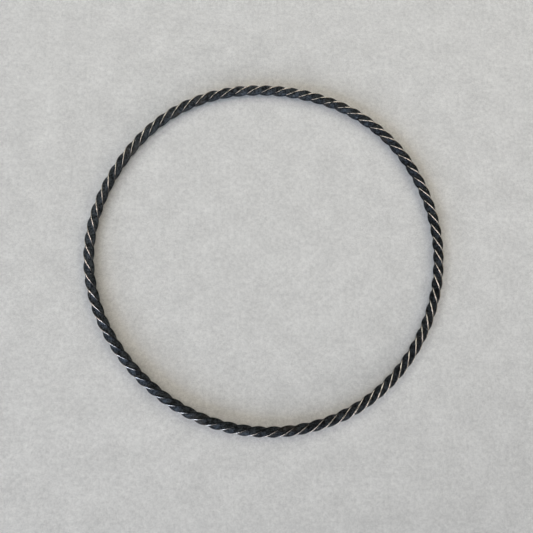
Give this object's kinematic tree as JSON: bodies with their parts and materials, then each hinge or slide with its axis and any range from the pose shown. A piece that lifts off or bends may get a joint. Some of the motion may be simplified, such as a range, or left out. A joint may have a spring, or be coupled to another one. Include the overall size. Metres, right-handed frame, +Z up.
{
  "type": "twisted wire bangle",
  "caption": "Closed ring bangle of blackened square wire twisted about its own axis, worn round the wrist, lying flat.",
  "frame": {"origin": "centre of the bangle's box in plan, at the height of the surface it lies on", "axes": "+Z straight up through the wrist opening, +X to the right in the picture, +Y away from the viewer"},
  "size_m": [0.0678, 0.0672, 0.002],
  "materials": {
    "blackened_silver": "oxidised silver, near black and satin, with the four long edges rubbed bright"
  },
  "bodies": {
    "root": {"twisted_wire": "blackened_silver"}
  },
  "joints": []
}
